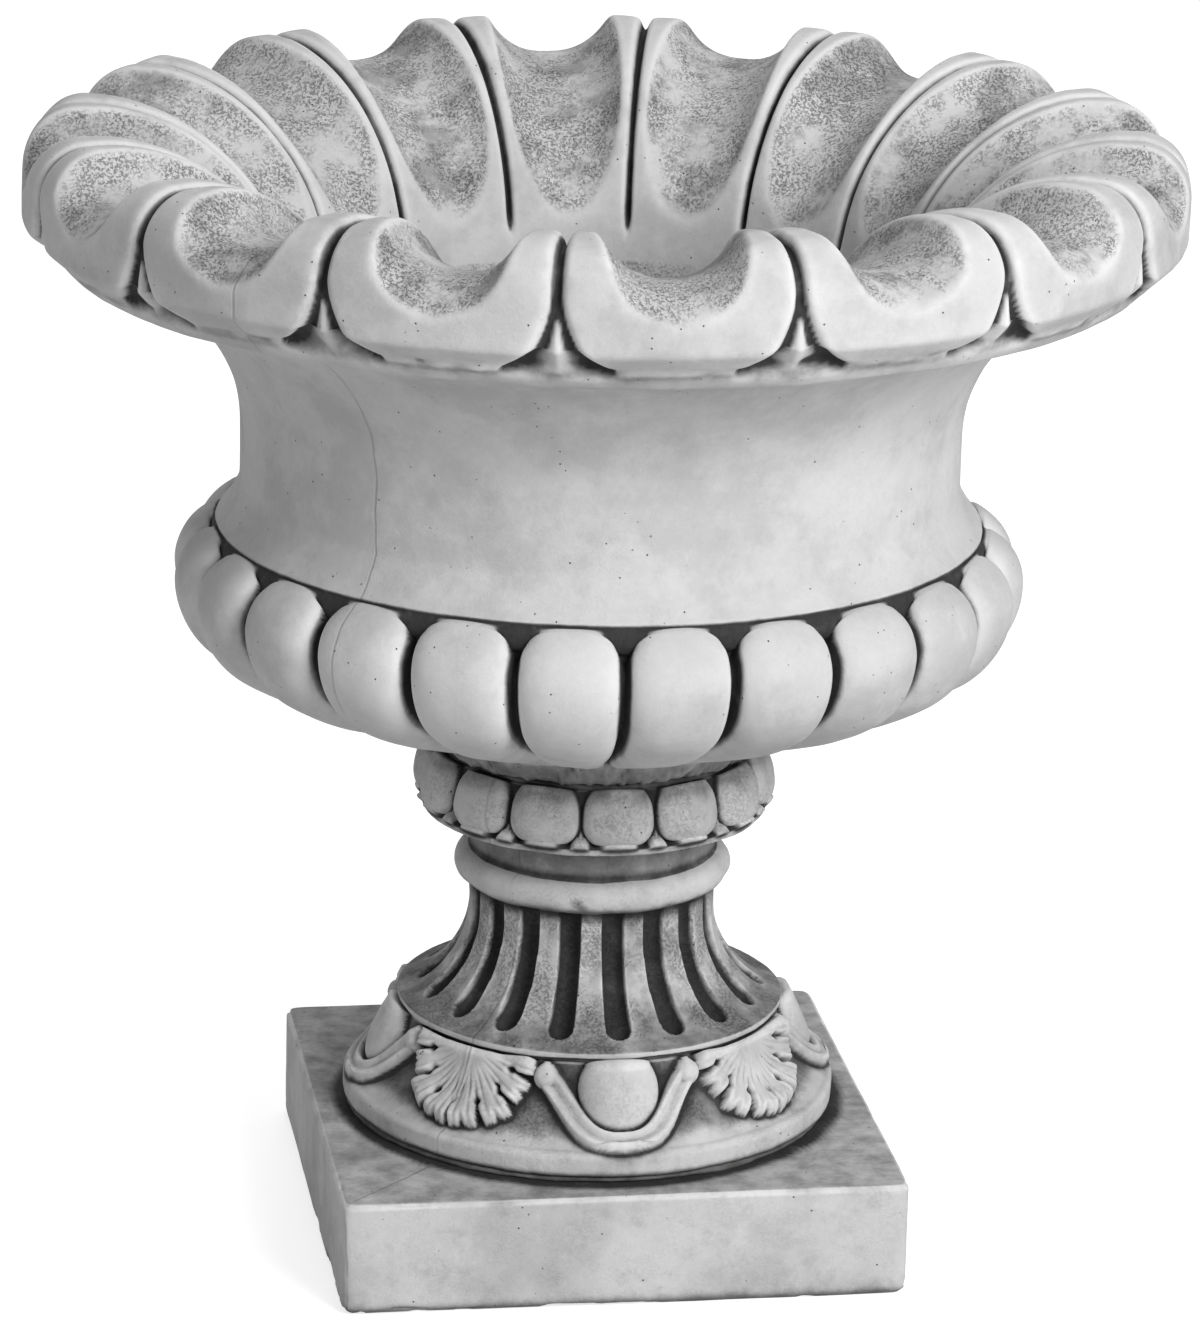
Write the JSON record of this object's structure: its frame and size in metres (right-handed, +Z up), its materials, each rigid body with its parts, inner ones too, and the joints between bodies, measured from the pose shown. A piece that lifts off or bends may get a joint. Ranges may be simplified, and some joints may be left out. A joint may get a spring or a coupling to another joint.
{
  "type": "urn planter",
  "caption": "Classical garden urn planter: a wide bowl with a scooped petal rim and gadroon lobes on a fluted stem, a carved foot and a square plinth, with a drain through its middle.",
  "frame": {"origin": "middle of the plinth's underside, on the ground", "axes": "+Z is up along the urn's axis; -Y is the plinth's front face as the picture shows it; +X is to its right"},
  "size_m": [0.606, 0.606, 0.602],
  "materials": {
    "cast_stone": "weathered light grey cast stone, matt, darker in the hollows",
    "mortar": "rough dark lime mortar",
    "galvanised_pipe": "galvanised, dull",
    "rubber_gasket": "matt black",
    "brass_fitting": "dull",
    "steel_strainer": "brushed",
    "steel_hardware": "galvanised, dull"
  },
  "bodies": {
    "root": {"plinth": "cast_stone", "foot_bed": "mortar", "foot": "cast_stone", "stem_bed": "mortar", "stem": "cast_stone", "collar_bed": "mortar", "collar": "cast_stone", "bowl_bed": "mortar", "bowl": "cast_stone", "drain_tube": "galvanised_pipe", "drain_gasket": "rubber_gasket", "drain_flange": "brass_fitting", "drain_strainer": "steel_strainer", "plinth_washer": "steel_hardware", "plinth_locknut": "steel_hardware"}
  },
  "joints": []
}
